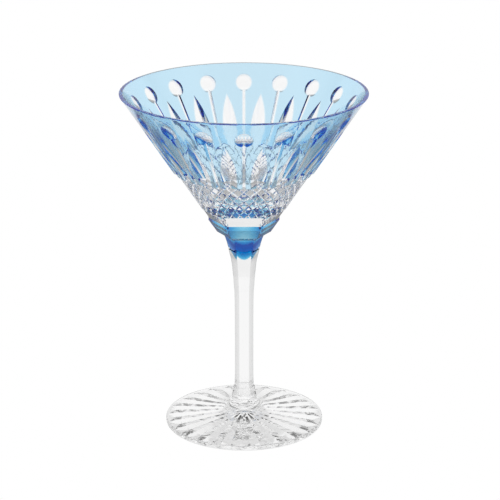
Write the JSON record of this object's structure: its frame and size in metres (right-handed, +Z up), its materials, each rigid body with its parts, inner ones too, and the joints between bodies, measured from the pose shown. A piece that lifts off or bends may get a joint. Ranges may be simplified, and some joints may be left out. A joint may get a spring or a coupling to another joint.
{
  "type": "martini glass",
  "caption": "Cut-crystal cocktail glass: wide conical bowl cased in blue with round, line and leaf cuts, diamond-cut base, faceted blue collar, six-sided clear stem and star-cut foot.",
  "frame": {"origin": "centre of the foot's underside, on the plane the glass stands on", "axes": "+Z up along the stem; -Y is the front, which a flat of the collar and stem faces"},
  "size_m": [0.12, 0.12, 0.17],
  "materials": {
    "crystal": "polished clear lead crystal",
    "blue_glass": "polished transparent blue casing"
  },
  "bodies": {
    "root": {"bowl": "crystal", "bowl_casing": "blue_glass", "collar_casing": "blue_glass", "stem": "crystal", "foot": "crystal"}
  },
  "joints": []
}
